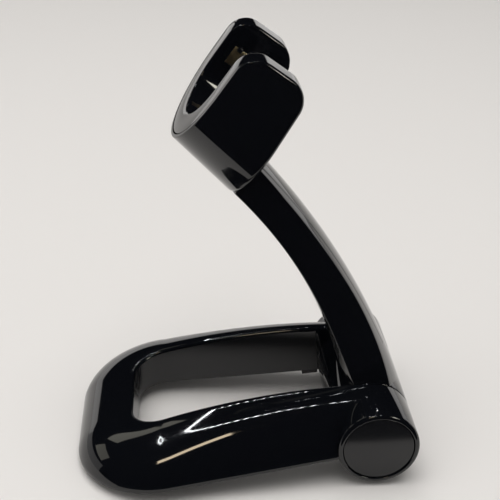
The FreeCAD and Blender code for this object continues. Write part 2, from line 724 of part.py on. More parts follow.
def make_cup_screws():
    seat = "-dims.cup_screw_seat"
    heads = cup_screw_rods("cup_screw_head", "dims.cup_screw_head", seat + " - dims.cup_screw_cap", seat)
    shanks = cup_screw_rods("cup_screw_shank", "dims.cup_screw_radius", seat, "dims.cup_screw_grip")
    screws = []
    for number, (head, shank) in enumerate(zip(heads, shanks)):
        screws.append(fuse("cup_screw_%d" % number, head, shank))
    placed = on_cup_back(group("cup_screw_pair", *screws))
    return in_hinge_frame(group("cup_screws", placed))


# ---------------------------------------------------------------- cup, in the cup frame

def channel(name, half, bend, low, high, top="%g" % FAR):
    """A U open towards the prong tips: parallel sides and a round end, between two depths."""
    sides = box(name + "_sides", ("-(%s)" % bend, top), ("-(%s)" % half, half), (low, high))
    end = rod_z(name + "_end", half, (low, high), "-(%s)" % bend)
    return fuse(name, sides, end)


def outer_channel(name, wall):
    """The cup's outer U less a wall, whose round end slides down towards the back."""
    half = size("channel_half") + size("cup_side") - wall
    sections = []
    for depth in (-DEEP, FAR):
        x = -size("cup_bend") - size("cup_draft") * depth
        z = -depth
        start = FreeCAD.Vector(FAR, half, z)
        finish = FreeCAD.Vector(FAR, -half, z)
        bend_start = FreeCAD.Vector(x, half, z)
        bend_end = FreeCAD.Vector(x, -half, z)
        round_end = Part.Arc(bend_start, FreeCAD.Vector(x - half, 0, z), bend_end)
        edges = [Part.LineSegment(start, bend_start).toShape(), round_end.toShape(),
                 Part.LineSegment(bend_end, finish).toShape(), Part.LineSegment(finish, start).toShape()]
        sections.append(Part.Wire(edges))
    return feature(name, Part.makeLoft(sections, True, True))


def side_profile(name, top, front, back, rounding):
    """The cup seen from the side, between its face and its leaning back, with round prong tips."""
    slope = math.tan(math.radians(size("back_draft")))
    corners = ((-FAR, front), (-top, front), (-top, -size("cup_depth") - slope * top + back),
               (-FAR, -size("cup_depth") - slope * FAR + back))
    sketch = polygon(name + "_outline", [("%r" % x, "%r" % z) for x, z in corners], UPRIGHT_XZ)
    slab = extrude(name + "_slab", sketch, "%g" % (2 * FAR))
    return round_edges(name, slab, rounding,
                       lambda spot, edge: abs(spot.x + top) < 1e-6 and abs(spot.y) < 1e-6
                       and edge.Length > FAR)


def cup_back_rods(name, radius, low, high):
    """Round bars square to the cup's back at the screws, in the cup's frame."""
    rods = group(name, *cup_screw_rods(name + "_rod", radius, low, high))
    return stand(rods, "0", "-dims.cup_depth", "dims.back_draft")


def cup_body(name):
    """The whole cup without its channel."""
    return common(name, outer_channel(name + "_outside", 0.0),
                  side_profile(name + "_view", 0.0, 0.0, 0.0, size("tip_round")))


def flange_pad(name, gap, high):
    """The layer of the flat front flange, inside the shell's rim."""
    pad = channel(name + "_u", "%s - dims.rim_wall - (%s)" % (CUP_HALF, gap), "dims.cup_bend",
                  "-dims.flange_thick", high)
    return cut(name, pad, tip_block(name + "_tip", gap))


def tip_block(name, gap="0"):
    """Everything nearer the prong tips than the tip wall."""
    return box(name, ("-dims.tip_wall - (%s)" % gap, "%g" % (2 * FAR)), ("-%g" % FAR, "%g" % FAR),
               ("-%g" % FAR, "%g" % FAR))


def catch(name, gap="0"):
    """The moulded catch that holds the plate's front top corner, on the right prong."""
    x = "-dims.plate_top - dims.catch_lap"
    z = "-dims.plate_front - dims.catch_front"
    y = "dims.channel_half - dims.plate_thick - dims.catch_proud"
    return box(name, (x + " - (%s)" % gap, x + " + dims.catch_width + (%s)" % gap),
               (y + " - (%s)" % gap, "dims.channel_half + dims.liner_thick / 2"),
               (z + " - dims.catch_depth - (%s)" % gap, z + " + (%s)" % gap))


def make_cup_shell():
    wall = size("cup_wall")
    way = channel("cup_way", "dims.channel_half", "dims.channel_bend", "-%g" % FAR, "%g" % DEEP)
    room = common("cup_room", outer_channel("cup_inside", wall),
                  side_profile("cup_room_view", size("tip_wall"), DEEP, size("back_wall"),
                               size("tip_round") - size("tip_wall")))
    seat = flange_pad("cup_flange_seat", "0", "%g" % DEEP)
    slot = cut("cup_slot", channel("cup_slot_u", "dims.channel_half + dims.liner_thick + dims.snug_gap",
                                   "dims.channel_bend", "-%g" % FAR, "%g" % DEEP), tip_block("cup_slot_tip"))
    skin = cut("cup_skin", cup_body("cup_body"), way, room, seat, slot)
    rods = cup_back_rods("cup_post", "dims.cup_boss_radius", "-%g" % DEEP, "dims.cup_boss_height")
    posts = common("cup_posts", rods, cup_body("cup_post_limit"))
    holes = cup_back_rods("cup_post_hole", "dims.cup_screw_radius + dims.snug_gap", "-%g" % DEEP,
                          "dims.cup_screw_grip + dims.snug_gap")
    return in_cup_frame(cut("cup_shell", fuse("cup_shell_solid", skin, posts), holes))


def make_cup_liner():
    sleeve = channel("sleeve", "dims.channel_half + dims.liner_thick", "dims.channel_bend", "-%g" % FAR, "0")
    sleeve = cut("sleeve_short", sleeve, tip_block("sleeve_tip", "dims.snug_gap"))
    flange = flange_pad("flange", "dims.cover_gap", "0")
    solid = common("liner_solid", fuse("liner_parts", sleeve, flange), cup_body("liner_limit"))
    way = channel("liner_way", "dims.channel_half", "dims.channel_bend", "-%g" % FAR, "%g" % DEEP)
    return in_cup_frame(fuse("cup_liner", cut("liner_open", solid, way), catch("plate_catch")))


def make_keeper_plate():
    plate = box("plate_block", ("-dims.plate_top - dims.plate_width", "-dims.plate_top"),
                ("dims.channel_half - dims.plate_thick", "dims.channel_half"),
                ("-dims.plate_front - dims.plate_depth", "-dims.plate_front"))
    return in_cup_frame(cut("keeper_plate", plate, catch("plate_notch", "dims.snug_gap")))


def make_trigger_magnet():
    back = "dims.channel_half + dims.liner_thick"
    disc = rod_y("magnet_disc", "dims.magnet_radius", (back, back + " + dims.magnet_thick"),
                 "-dims.plate_top - dims.plate_width / 2", "-dims.plate_front - dims.plate_depth / 2")
    return in_cup_frame(group("trigger_magnet", disc))


# ---------------------------------------------------------------- build, check and write

def make_all():
    pieces = [make_base_shell(), make_base_cover(), make_base_cover_screws()]
    pieces += make_weights() + make_feet() + make_end_caps() + make_axle()
    pieces += [make_disc_springs()] + make_bearings()
    pieces += [make_arm_shell(), make_arm_back_cover(), make_cup_screws()]
    pieces += [make_cup_shell(), make_cup_liner(), make_keeper_plate(), make_trigger_magnet()]
    for piece in pieces:
        piece.Label = piece.Name
    return pieces


def check(pieces):
    for item in doc.Objects:
        if "Invalid" in item.State or "Error" in item.State:
            raise RuntimeError("%s failed: %s" % (item.Name, item.State))
    for piece in pieces:
        if piece.Shape.isNull() or not piece.Shape.isValid() or not piece.Shape.Solids:
            raise RuntimeError("%s has no valid solid" % piece.Label)


PIECES = make_all()
doc.recompute()
check(PIECES)
os.makedirs("parts", exist_ok=True)
for made in PIECES:
    made.Shape.exportStep("parts/%s.step" % made.Label)
    limits = made.Shape.BoundBox
    print("%-22s %d solid(s) %9.1f mm3  x %.1f..%.1f  y %.1f..%.1f  z %.1f..%.1f" % (
        made.Label, len(made.Shape.Solids), made.Shape.Volume, limits.XMin, limits.XMax, limits.YMin,
        limits.YMax, limits.ZMin, limits.ZMax))
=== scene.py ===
import json
import math

import bmesh
import bpy
from mathutils import Matrix, Vector


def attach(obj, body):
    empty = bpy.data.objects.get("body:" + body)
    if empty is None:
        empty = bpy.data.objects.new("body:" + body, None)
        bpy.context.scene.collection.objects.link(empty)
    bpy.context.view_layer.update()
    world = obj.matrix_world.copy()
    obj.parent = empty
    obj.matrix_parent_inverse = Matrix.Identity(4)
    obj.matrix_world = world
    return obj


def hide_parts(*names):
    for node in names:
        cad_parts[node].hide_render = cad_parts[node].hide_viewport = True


# The looks of a hands-free stand for a handheld scanner: a glossy weighted loop, a curved arm on a friction
# hinge, and a U-shaped cup. Shapes are worked out in millimetres in three frames: the hinge's, the loop's
# (leaning with its underside) and the cup's (+X along the prongs, +Z out of its face).

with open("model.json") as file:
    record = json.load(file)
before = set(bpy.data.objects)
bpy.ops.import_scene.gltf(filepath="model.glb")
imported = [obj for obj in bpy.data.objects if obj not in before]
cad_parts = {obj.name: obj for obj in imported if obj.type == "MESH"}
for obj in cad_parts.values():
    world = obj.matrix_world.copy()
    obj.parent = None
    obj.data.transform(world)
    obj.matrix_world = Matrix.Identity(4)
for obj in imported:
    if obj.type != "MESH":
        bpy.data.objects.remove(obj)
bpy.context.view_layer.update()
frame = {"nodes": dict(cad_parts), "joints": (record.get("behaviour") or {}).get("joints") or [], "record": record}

MM = 0.001
HINGE = Vector(frame["joints"][0]["pos_m"])
SIDES = (("left", -1), ("right", 1))
DEEP = 12.0                 # how far a cutting shape runs past the face that it opens
SMOOTH_ANGLE = math.radians(30)
SQUARE = ((-1, -1), (1, -1), (1, 1), (-1, 1))

# the loop
BASE_TILT = 5.9
BASE_REACH = 103.4
UNDERSIDE_DROP = 2.7
BAR_WIDTH = 20.8
INNER_HALF, INNER_FLARE, INNER_CORNER = 18.2, 0.044, 10.8
OUTER_HALF, OUTER_FLARE, OUTER_CORNER = 34.4, 0.112, 28.8
CREST_HEIGHT, CREST_BACK, FRONT_HEIGHT = 18.9, 26.3, 12.2
RIM_LIP = 1.2
RIM_SLOPE = 0.35            # how far the dome leans in from upright where it meets the rim
EDGE_ROUND = 1.2
BASE_WALL = 2.2
CAVITY_BACK = 17.0
LEG_STEPS = 40
CORNER_STEPS = 28
EDGE_STEPS = 8
DOME_STEPS = 40
ROUNDNESS = 0.5523          # handle of a cubic curve that makes a quarter of an ellipse

# the hinge
BARREL_RADIUS = 14.1
BARREL_HALF = 36.6
BARREL_EDGE, BARREL_ROUND = 0.35, 1.1    # at its seams, and at its outer ends
ARM_BARREL_HALF = 17.7
SEAM_GAP = 0.3
WEB_THICK = 6.0
POCKET_RADIUS = 9.5
CAP_RADIUS = 12.3
CAP_THICK = 3.1
CAP_INSET = 0.4
CAP_ROUND = 0.5
CAP_SKIRT = 4.0
SKIRT_WALL = 1.4
SNUG_GAP = 0.05
BOLT_RADIUS = 3.0
AXLE_CLEAR = 0.6            # round the bolt, inside the arm
BUSH_RADIUS = 4.5
BUSH_LENGTH = 10.0
FRICTION_RADIUS = 8.0
FRICTION_SEAT = 1.2
TURN_STEPS = 160
CAP_SEAT = BARREL_HALF - CAP_INSET - CAP_THICK
CAP_BORE = CAP_RADIUS + SNUG_GAP
BOLT_BORE = BOLT_RADIUS + SNUG_GAP
KNUCKLE_FACE = ARM_BARREL_HALF + SEAM_GAP
KNUCKLE_WEB = KNUCKLE_FACE + WEB_THICK

# the arm
BACK_RADIUS, BACK_DOWN = 263.0, 31.0
FRONT_RADIUS, FRONT_DOWN, FRONT_COVER = 156.7, 45.1, 7.3
CROWN_RADIUS = 42.0
ARM_HALF = 11.0
ARM_FOOT = 6.0
FLARE_RADIUS, FLARE_TOP = 105.5, 50.0
ARM_EDGE = 0.7
STRIP_HALF, STRIP_THICK, STRIP_GAP, STRIP_FOOT = 7.0, 1.6, 0.1, 24.0
STRIP_ROUND, SEAT_ROUND = 0.3, 0.2
SEAT_OPEN = 3.0             # how far the strip's seat is cut past the arm's back
SEAT_PAST = 0.1             # and past its top, in radians of the fan
ROUND_STEPS = 4
ARM_STEPS = 120
ACROSS_STEPS = 16

# the cup
CUP_X, CUP_Z, CUP_LEAN = -45.4, 134.8, 54.9
CUP_HALF, CUP_BEND, CUP_DRAFT = 24.7, 16.2, 0.217
CUP_DEPTH, BACK_DRAFT = 23.0, 4.7
TIP_ROUND, TIP_WALL = 7.5, 4.5
CHANNEL_HALF, CHANNEL_BEND = 16.0, 16.0
LINER_THICK, FLANGE_THICK = 2.0, 2.0
CUP_WALL, RIM_WALL, BACK_WALL = 2.4, 1.1, 2.5
GROOVE = 0.45               # between the cup's rim and the liner's flange
PLATE_THICK, PLATE_TOP, PLATE_WIDTH, PLATE_FRONT, PLATE_DEPTH = 1.3, 9.4, 6.2, 4.2, 8.5
LEAD_DEPTH, LEAD_DROP = 3.0, 0.75
CATCH_WIDTH, CATCH_DEPTH, CATCH_FRONT, CATCH_LAP, CATCH_PROUD = 1.7, 1.7, 1.0, 0.9, 0.5
CATCH_EDGE, PLATE_EDGE, NOTCH_EDGE = 0.35, 0.12, 0.02
CHANNEL_EDGE, FACE_EDGE, TIP_EDGE = 0.5, 0.4, 0.8
BACK_EDGE, CHANNEL_BACK_EDGE = 1.6, 0.8
FLANGE_EDGE, SLEEVE_EDGE, LINER_BACK_EDGE = 0.25, 0.2, 0.4
WALL_BITE = 1.0             # how far the catch and the cuts run past the channel's wall
FLANGE_SEAT = CUP_HALF - RIM_WALL
TIP_STEPS = 20
PRONG_STEPS = 6
BEND_STEPS = 72


# ---------------------------------------------------------------- mesh tools

def stand(x, z, lean):
    """The place of a shape whose own frame is x, z millimetres from the hinge; a lean lifts its +X end."""
    turn = Matrix.Rotation(math.radians(lean), 4, Vector((0, -1, 0)))
    return Matrix.Translation(HINGE) @ Matrix.Scale(MM, 4) @ Matrix.Translation((x, 0, z)) @ turn


IN_HINGE = stand(0, 0, 0)
IN_BASE = stand(0, 0, BASE_TILT)
IN_CUP = stand(CUP_X, CUP_Z, CUP_LEAN)


def show(name, data):
    """A new object in the scene that holds a mesh, a light or a camera."""
    item = bpy.data.objects.new(name, data)
    bpy.context.scene.collection.objects.link(item)
    return item


def solid(name, rings, ends=True):
    """A closed mesh through rings of points; with ends the first and last are filled, else joined."""
    count = len(rings[0])
    points = [p for ring in rings for p in ring]
    faces = []
    last = len(rings) - 1 if ends else len(rings)
    for i in range(last):
        near, far = i * count, (i + 1) % len(rings) * count
        for k in range(count):
            after = (k + 1) % count
            faces.append((near + k, near + after, far + after, far + k))
    if ends:
        faces.append(tuple(reversed(range(count))))
        faces.append(tuple(range((len(rings) - 1) * count, len(rings) * count)))
    mesh = bpy.data.meshes.new(name)
    mesh.from_pydata(points, [], faces)
    work = bmesh.new()
    work.from_mesh(mesh)
    bmesh.ops.remove_doubles(work, verts=work.verts, dist=1e-5)
    bmesh.ops.recalc_face_normals(work, faces=work.faces)
    work.to_mesh(mesh)
    work.free()
    return show(name, mesh)


def combine(item, how, other):
    """Join another closed mesh to item (UNION) or take it out of it (DIFFERENCE); the other goes."""
    step = item.modifiers.new("step", "BOOLEAN")
    step.operation = how
    step.solver = "EXACT"
    step.object = other
    bpy.context.view_layer.update()
    made = bpy.data.meshes.new_from_object(item.evaluated_get(bpy.context.evaluated_depsgraph_get()))
    item.modifiers.clear()
    item.data = made
    bpy.data.objects.remove(other)


def put(item, matrix, body, slot, node):
    """Place a finished piece, shade it smooth up to its creases, and let it stand for its CAD node."""
    mesh = item.data
    mesh.transform(matrix)
    mesh.name = item.name
    mesh.shade_smooth()
    mesh.set_sharp_from_angle(angle=SMOOTH_ANGLE)
    mesh.materials.clear()
    mesh.materials.append(FINISHES[slot])
    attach(item, body)
    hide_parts(node)


def rounded(corners, steps=6):
    """Points of a closed outline from (x, y, radius) corners; a radius of 0 leaves the corner sharp."""
    points = []
    count = len(corners)
    for i, (x, y, radius) in enumerate(corners):
        here = Vector((x, y))
        if not radius:
            points.append(here)
            continue
        before = (Vector(corners[i - 1][:2]) - here).normalized()
        after = (Vector(corners[(i + 1) % count][:2]) - here).normalized()
        half = before.angle(after) / 2
        centre = here + (before + after).normalized() * radius / math.sin(half)
        start = here + before * radius / math.tan(half) - centre
        end = here + after * radius / math.tan(half) - centre
        for k in range(steps + 1):
            points.append(centre + start.slerp(end, k / steps).normalized() * radius)
    return points


def lathe(name, outline):
    """A closed mesh turned about the Y axis from an outline of (y, radius) points."""
    rings = []
    for i in range(TURN_STEPS):
        turn = math.tau * i / TURN_STEPS
        rings.append([(r * math.cos(turn), y, r * math.sin(turn)) for y, r in outline])
    return solid(name, rings, ends=False)


def block(name, x, y, z, edge):
    """A block with rounded edges from three (low, high) pairs."""
    work = bmesh.new()
    bmesh.ops.create_cube(work, size=1.0)
    for vert in work.verts:
        vert.co = Vector([pair[1] if part > 0 else pair[0] for part, pair in zip(vert.co, (x, y, z))])
    bmesh.ops.bevel(work, geom=work.edges[:], offset=edge, segments=4, profile=0.5, affect="EDGES")
    mesh = bpy.data.meshes.new(name)
    work.to_mesh(mesh)
    work.free()
    return show(name, mesh)


# ---------------------------------------------------------------- materials

def material(name, color, roughness, **sockets):
    """A new material with its Principled shader's own sockets set."""
    made = bpy.data.materials.new(name)
    made.use_nodes = True
    shader = made.node_tree.nodes["Principled BSDF"]
    shader.inputs["Base Color"].default_value = (*color, 1.0)
    shader.inputs["Roughness"].default_value = roughness
    for socket, value in sockets.items():
        shader.inputs[socket.replace("_", " ")].default_value = value
    return made


def noise(made, scale, detail=2.0, stretch=(1, 1, 1)):
    """A noise pattern in the piece's own metres, as the output of its texture node."""
    nodes, links = made.node_tree.nodes, made.node_tree.links
    place = nodes.new("ShaderNodeTexCoord")
    mapping = nodes.new("ShaderNodeMapping")
    mapping.inputs["Scale"].default_value = stretch
    pattern = nodes.new("ShaderNodeTexNoise")
    pattern.inputs["Scale"].default_value = scale
    pattern.inputs["Detail"].default_value = detail
    links.new(place.outputs["Object"], mapping.inputs["Vector"])
    links.new(mapping.outputs["Vector"], pattern.inputs["Vector"])
    return pattern.outputs["Fac"]


def remap(made, source, low, high, to_low, to_high):
    """Stretch a pattern's low..high to a new range."""
    node = made.node_tree.nodes.new("ShaderNodeMapRange")
    made.node_tree.links.new(source, node.inputs["Value"])
    for socket, value in (("From Min", low), ("From Max", high), ("To Min", to_low), ("To Max", to_high)):
        node.inputs[socket].default_value = value
    return node.outputs["Result"]


def join(made, how, first, second):
    """Two patterns put together by one sum (ADD) or product (MULTIPLY)."""
    node = made.node_tree.nodes.new("ShaderNodeMath")
    node.operation = how
    made.node_tree.links.new(first, node.inputs[0])
    made.node_tree.links.new(second, node.inputs[1])
    return node.outputs[0]


def drive(made, socket, source):
    made.node_tree.links.new(source, made.node_tree.nodes["Principled BSDF"].inputs[socket])


def bump(made, source, strength, distance):
    node = made.node_tree.nodes.new("ShaderNodeBump")
    node.inputs["Strength"].default_value = strength
    node.inputs["Distance"].default_value = distance
    made.node_tree.links.new(source, node.inputs["Height"])
    drive(made, "Normal", node.outputs["Normal"])


def tint(made, source, dark, light):
    """Blend the base colour between two tones by a pattern."""
    node = made.node_tree.nodes.new("ShaderNodeMix")
    node.data_type = "RGBA"
    node.inputs["A"].default_value = (*dark, 1.0)
    node.inputs["B"].default_value = (*light, 1.0)
    made.node_tree.links.new(source, node.inputs["Factor"])
    drive(made, "Base Color", node.outputs["Result"])


def gloss_black():
    """Polished plastic with a faint haze, hairline scratches and dust in patches."""
    tone = (0.0035, 0.004, 0.0055)
    made = material("gloss_black", tone, 0.05, IOR=1.53)
    haze = noise(made, 45.0, 3.0)
    hairlines = noise(made, 900.0, 2.0, (1, 0.12, 1))
    dust = noise(made, 2200.0, 1.0)
    patches = noise(made, 35.0, 2.0)
    smears = remap(made, haze, 0.35, 0.7, 0.03, 0.07)
    scratches = remap(made, hairlines, 0.64, 0.78, 0.0, 0.07)
    drive(made, "Roughness", join(made, "ADD", smears, scratches))
    grains = remap(made, dust, 0.72, 0.78, 0.0, 1.0)
    dusty = remap(made, patches, 0.45, 0.65, 0.0, 1.0)
    tint(made, join(made, "MULTIPLY", grains, dusty), tone, (0.02, 0.021, 0.023))
    bump(made, haze, 0.02, 0.0001)
    return made


def satin_black():
    made = material("satin_black", (0.008, 0.0085, 0.01), 0.15, IOR=1.5)
    grain = noise(made, 2600.0, 3.0)
    drive(made, "Roughness", remap(made, grain, 0.3, 0.7, 0.12, 0.2))
    bump(made, grain, 0.05, 0.00003)
    return made


def matt_black():
    made = material("matt_black", (0.02, 0.02, 0.022), 0.55, IOR=1.5)
    grain = noise(made, 1800.0, 4.0)
    drive(made, "Roughness", remap(made, grain, 0.3, 0.7, 0.45, 0.65))
    bump(made, grain, 0.3, 0.0001)
    return made


def rubber_grey():
    made = material("rubber_grey", (0.03, 0.03, 0.031), 0.8, IOR=1.5)
    grain = noise(made, 1200.0, 3.0)
    tint(made, grain, (0.022, 0.022, 0.023), (0.045, 0.045, 0.046))
    bump(made, grain, 0.3, 0.0001)
    return made


def metal(name, color, roughness, scale, stretch):
    made = material(name, color, roughness, Metallic=1.0)
    lines = noise(made, scale, 3.0, stretch)
    drive(made, "Roughness", remap(made, lines, 0.3, 0.7, roughness * 0.75, roughness * 1.3))
    dark = tuple(part * 0.85 for part in color)
    tint(made, lines, dark, color)
    bump(made, lines, 0.1, 0.00005)
    return made


def plain(name, color, roughness):
    made = material(name, color, roughness, IOR=1.5)
    grain = noise(made, 900.0, 3.0)
    tint(made, grain, tuple(part * 0.88 for part in color), color)
    drive(made, "Roughness", remap(made, grain, 0.3, 0.7, roughness * 0.85, roughness * 1.15))
    return made


FINISHES = {
    "gloss_black": gloss_black(),
    "satin_black": satin_black(),
    "matt_black": matt_black(),
    "rubber_grey": rubber_grey(),
    "steel_bar": metal("steel_bar", (0.45, 0.45, 0.46), 0.38, 400.0, (0.1, 1, 1)),
    "zinc_steel": metal("zinc_steel", (0.62, 0.63, 0.65), 0.28, 700.0, (1, 0.2, 1)),
    "acetal": plain("acetal", (0.85, 0.85, 0.82), 0.4),
    "friction_fibre": plain("friction_fibre", (0.16, 0.1, 0.07), 0.7),
    "yellow_brass": metal("yellow_brass", (0.86, 0.71, 0.45), 0.34, 500.0, (1, 1, 0.15)),
    "nickel": metal("nickel", (0.75, 0.74, 0.7), 0.2, 600.0, (1, 1, 1)),
}


def finish_cad_nodes():
    """Every CAD node takes its record slot's finish."""
    for part in frame["record"]["subparts"]:
        node = frame["nodes"][part["node"]]
        node.data.materials.clear()
        node.data.materials.append(FINISHES[part["material_slot"]])
        for face in node.data.polygons:
            face.material_index = 0
        node.data.shade_smooth()
        node.data.set_sharp_from_angle(angle=SMOOTH_ANGLE)


# ---------------------------------------------------------------- the loop

def half_outline(half, flare, reach, corner, back):
    """Points of a right-hand outline, from back of a leg round the front corner to the middle of the bar."""
    slope = math.atan(flare)
    centre_x = corner - reach
    centre_y = half - flare * centre_x - corner / math.cos(slope)
    leg_end = centre_x + corner * math.sin(slope)
    points = []
    for i in range(LEG_STEPS):
        x = -back + (leg_end + back) * i / LEG_STEPS
        points.append((x, half - flare * x))
    for i in range(CORNER_STEPS + 1):
        turn = math.pi / 2 - slope + (math.pi / 2 + slope) * i / CORNER_STEPS
        points.append((centre_x + corner * math.cos(turn), centre_y + corner * math.sin(turn)))
    points.append((-reach, 0.0))
    return points


def loop_stations(back):
    """(inner, outer) points of the loop's cross-sections, from the right leg round the front to the left."""
    reach = front_reach()
    inner = half_outline(INNER_HALF, INNER_FLARE, reach - BAR_WIDTH, INNER_CORNER, back)
    outer = half_outline(OUTER_HALF, OUTER_FLARE, reach, OUTER_CORNER, back)
    right = list(zip(inner, outer))
    left = [((a[0], -a[1]), (b[0], -b[1])) for a, b in right[:-1]]
    return right + left[::-1]


def front_reach():
    """From the hinge axis to the front rim, along the loop's underside."""
    lean = math.radians(BASE_TILT)
    return (BASE_REACH + UNDERSIDE_DROP * math.sin(lean)) / math.cos(lean)


def crest(x):
    """Height of the loop's upper inner edge above its underside, a parabola down to the front bar."""
    run = front_reach() - BAR_WIDTH - CREST_BACK
    return CREST_HEIGHT - (CREST_HEIGHT - FRONT_HEIGHT) * ((x + CREST_BACK) / run) ** 2


def cubic(a, b, c, d, steps):
    """Points of a cubic curve, without its last."""
    points = []
    for i in range(steps):
        k = i / steps
        points.append(a * (1 - k) ** 3 + b * 3 * k * (1 - k) ** 2 + c * 3 * k * k * (1 - k) + d * k ** 3)
    return points


def loop_section(inner, outer, inset, bottom):
    """One upright cross-section: up the inner wall, over the dome to the rim, and back along the bottom."""
    inner, outer = Vector(inner), Vector(outer)
    width = (outer - inner).length
    along = (outer - inner) / width
    start, end = inset, width - inset
    high = crest(inner.x) - inset
    handle = EDGE_ROUND * (1 - ROUNDNESS)
    reach = (end - start - EDGE_ROUND) * ROUNDNESS
    drop = (high - RIM_LIP) * ROUNDNESS
    outline = [Vector((start, bottom))]
    outline += cubic(Vector((start, high - EDGE_ROUND)), Vector((start, high - handle)),
                     Vector((start + handle, high)), Vector((start + EDGE_ROUND, high)), EDGE_STEPS)
    outline += cubic(Vector((start + EDGE_ROUND, high)), Vector((start + EDGE_ROUND + reach, high)),
                     Vector((end - drop * RIM_SLOPE, RIM_LIP + drop)), Vector((end, RIM_LIP)), DOME_STEPS)
    outline += [Vector((end, RIM_LIP)), Vector((end, bottom))]
    ring = []
    for across, height in outline:
        spot = inner + along * across
        ring.append((spot.x, spot.y, height - UNDERSIDE_DROP))
    return ring


def loop(name, back, inset=0.0, bottom=0.0):
    return solid(name, [loop_section(a, b, inset, bottom) for a, b in loop_stations(back)])


def knuckle(name, side):
    """One fixed knuckle: a round barrel with a rounded outer end and the stepped pocket for bolt and cap."""
    corners = [(KNUCKLE_FACE, BOLT_BORE, 0), (KNUCKLE_FACE, BARREL_RADIUS, BARREL_EDGE),
               (BARREL_HALF, BARREL_RADIUS, BARREL_ROUND), (BARREL_HALF, CAP_BORE, BARREL_EDGE),
               (CAP_SEAT, CAP_BORE, 0), (CAP_SEAT, POCKET_RADIUS, 0), (KNUCKLE_WEB, POCKET_RADIUS, 0),
               (KNUCKLE_WEB, BOLT_BORE, 0)]
    return lathe(name, [(side * y, r) for y, r in rounded(corners)])


def knuckle_bore(name, side):
    """What the leg must leave free inside the knuckle."""
    outline = [(0, 0), (0, BOLT_BORE), (KNUCKLE_WEB, BOLT_BORE), (KNUCKLE_WEB, POCKET_RADIUS),
               (CAP_SEAT, POCKET_RADIUS), (CAP_SEAT, CAP_BORE), (BARREL_HALF + DEEP, CAP_BORE),
               (BARREL_HALF + DEEP, 0)]
    return lathe(name, [(side * y, r) for y, r in outline])


def make_base_shell():
    shell = loop("base_shell_smooth", 0.0)
    combine(shell, "DIFFERENCE", loop("loop_hollow", CAVITY_BACK, BASE_WALL, -DEEP))
    for name, side in SIDES:
        combine(shell, "DIFFERENCE", knuckle_bore(name + "_bore", side))
        combine(shell, "UNION", knuckle(name + "_knuckle", side))
    put(shell, IN_BASE, "base", "gloss_black", "base_shell")


# ---------------------------------------------------------------- the hinge's ends

def make_end_caps():
    face = BARREL_HALF - CAP_INSET
    skirt = POCKET_RADIUS - SNUG_GAP
    foot = CAP_SEAT - CAP_SKIRT
    corners = [(face, 0, 0), (face, CAP_RADIUS, CAP_ROUND), (CAP_SEAT, CAP_RADIUS, 0), (CAP_SEAT, skirt, 0),
               (foot, skirt, 0), (foot, skirt - SKIRT_WALL, 0), (CAP_SEAT, skirt - SKIRT_WALL, 0),
               (CAP_SEAT, 0, 0)]
    for name, side in SIDES:
        cap = lathe(name + "_end_cap_smooth", [(side * y, r) for y, r in rounded(corners)])
        put(cap, IN_HINGE, "base", "satin_black", name + "_end_cap")


# ---------------------------------------------------------------- the arm

CUP_BACK = Vector((CUP_X + CUP_DEPTH * math.sin(math.radians(CUP_LEAN)),
                   CUP_Z - CUP_DEPTH * math.cos(math.radians(CUP_LEAN))))
CUP_BACK_LEAN = math.radians(CUP_LEAN + BACK_DRAFT)


def arc_centre(radius, reach, down):
    """Centre of a side-view arc, reach from the hinge, that meets the cup's back down from its tips."""
    end = CUP_BACK - down * Vector((math.cos(CUP_BACK_LEAN), math.sin(CUP_BACK_LEAN)))
    opening = math.acos((reach ** 2 + end.length_squared - radius ** 2) / (2 * reach * end.length))
    turn = math.atan2(end.y, end.x) + opening
    return reach * Vector((math.cos(turn), math.sin(turn)))


BACK_CENTRE = arc_centre(BACK_RADIUS, BACK_RADIUS - BARREL_RADIUS, BACK_DOWN)
FRONT_CENTRE = arc_centre(FRONT_RADIUS, FRONT_RADIUS + FRONT_COVER, FRONT_DOWN)
# All cross-sections of the arm fan out from this point, from level at its foot to the plane of the
# cup's back.
FAN = Vector((CUP_BACK.x - (CUP_BACK.y - ARM_FOOT) / math.tan(CUP_BACK_LEAN), ARM_FOOT))


def along_ray(angle, centre, radius):
    """How far the ray at that angle from FAN runs to a circle in the side view."""
    ray = Vector((math.cos(angle), math.sin(angle)))
    offset = FAN - centre
    middle = offset.dot(ray)
    return -middle + math.sqrt(middle ** 2 - offset.length_squared + radius ** 2)


def back_at(angle, y, sunk=0.0):
    crown = math.sqrt((CROWN_RADIUS - sunk) ** 2 - y * y)
    return along_ray(angle, BACK_CENTRE, BACK_RADIUS - CROWN_RADIUS + crown)


def front_at(angle, y):
    crown = math.sqrt(CROWN_RADIUS ** 2 - y * y)
    return along_ray(angle, FRONT_CENTRE, FRONT_RADIUS + CROWN_RADIUS - crown)


def arm_half(angle, reach):
    """Half the arm's width at that distance along a ray."""
    below = max(0.0, FLARE_TOP - FAN.y - reach * math.sin(angle))
    return min(ARM_BARREL_HALF, ARM_HALF + FLARE_RADIUS - math.sqrt(FLARE_RADIUS ** 2 - below ** 2))


def fan_point(angle, reach, y):
    return (FAN.x + reach * math.cos(angle), y, FAN.y + reach * math.sin(angle))


def corner_arc(angle, reach_at, half, side, outward):
    """The rounded edge between a crowned face and a flat side; outward is -1 at the front, 1 at the back."""
    inner_half = half - ARM_EDGE
    lean = math.asin(inner_half / (CROWN_RADIUS - ARM_EDGE))
    face = reach_at(angle, inner_half)
    centre = face - outward * ARM_EDGE * math.cos(lean)
    points = []
    for i in range(ROUND_STEPS + 1):
        turn = math.pi / 2 - (math.pi / 2 - lean) * (1 - i / ROUND_STEPS)
        points.append((centre + outward * ARM_EDGE * math.cos(turn),
                       side * (inner_half + ARM_EDGE * math.sin(turn))))
    return points


